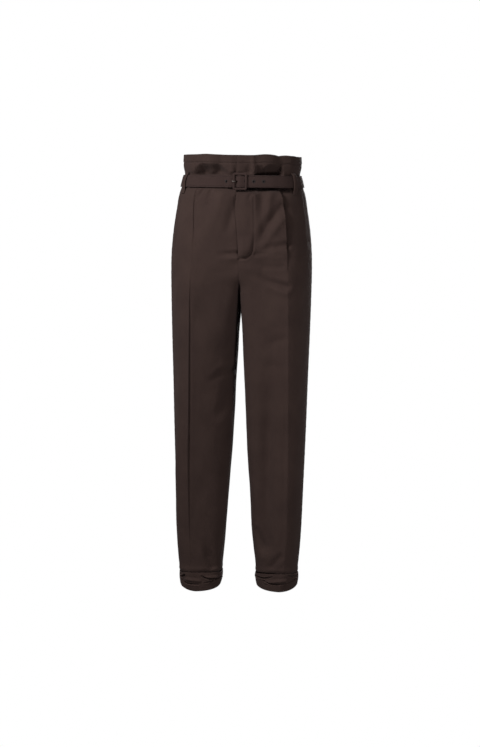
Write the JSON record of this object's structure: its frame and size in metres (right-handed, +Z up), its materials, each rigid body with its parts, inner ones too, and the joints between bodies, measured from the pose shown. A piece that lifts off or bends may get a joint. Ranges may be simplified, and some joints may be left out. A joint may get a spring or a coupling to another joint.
{
  "type": "paperbag waist trousers",
  "caption": "Hollow, filled-out paperbag waist trousers with a gathered header, a belt of the same cloth with a covered buckle, pleats, pressed creases and turn-ups.",
  "frame": {"origin": "centre of the waist, level with the middle of the belt, where the trousers are held up", "axes": "+Z up towards the gathered header, -Y the front, +X the wearer's left"},
  "size_m": [0.33, 0.2635, 1.0277],
  "materials": {
    "wool": "matte fine worsted wool",
    "belt_cloth": "matte wool laid over a stiff core",
    "prong_metal": "dark satin"
  },
  "bodies": {
    "root": {"front_left": "wool", "front_right": "wool", "back_left": "wool", "back_right": "wool", "cuff_left": "wool", "cuff_right": "wool", "belt": "belt_cloth", "buckle": "belt_cloth", "prong": "prong_metal", "loop_front_left": "wool", "loop_front_right": "wool", "loop_back_left": "wool", "loop_back_right": "wool", "loop_back_middle": "wool"}
  },
  "joints": []
}
